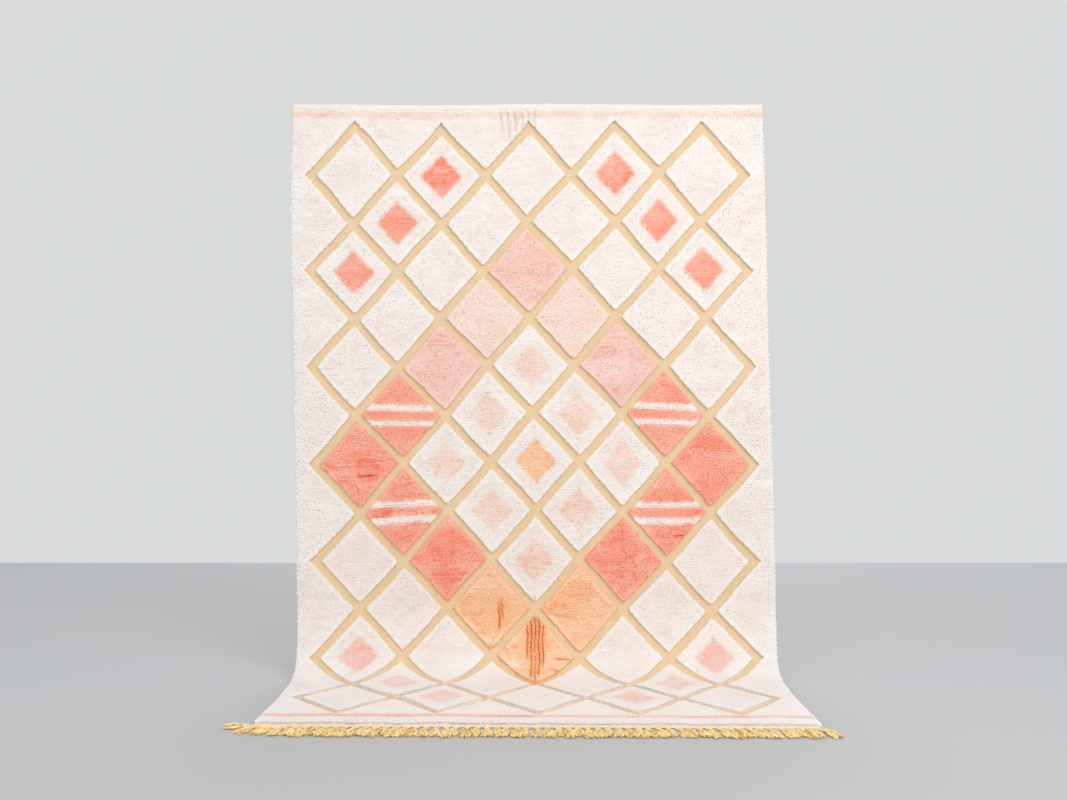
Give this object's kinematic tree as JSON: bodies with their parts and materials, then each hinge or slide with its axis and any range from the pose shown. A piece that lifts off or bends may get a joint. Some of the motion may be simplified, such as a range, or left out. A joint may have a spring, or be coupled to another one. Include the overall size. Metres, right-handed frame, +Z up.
{
  "type": "beni ourain rug",
  "caption": "Thick hand-knotted wool rug hung by its top edge, its lower end swept forward over the floor, with a sunk lozenge lattice in the pile and a knotted tassel fringe.",
  "frame": {"origin": "on the floor, under the middle of the part's bounding box", "axes": "+Z up, -Y the way the pile faces and the lower end sweeps forward, +X to the right as seen from the pile side"},
  "size_m": [2.0826, 0.9151, 2.3902],
  "materials": {
    "pile_wool": "deep cut wool pile, cream with coral, pink, peach and orange motifs, matt",
    "flat_weave": "flat-woven tan wool ground, sunk below the pile, matt",
    "fringe_wool": "plied and brushed golden wool yarn, matt"
  },
  "bodies": {
    "root": {"rug": "pile_wool", "fringe": "fringe_wool"}
  },
  "joints": []
}
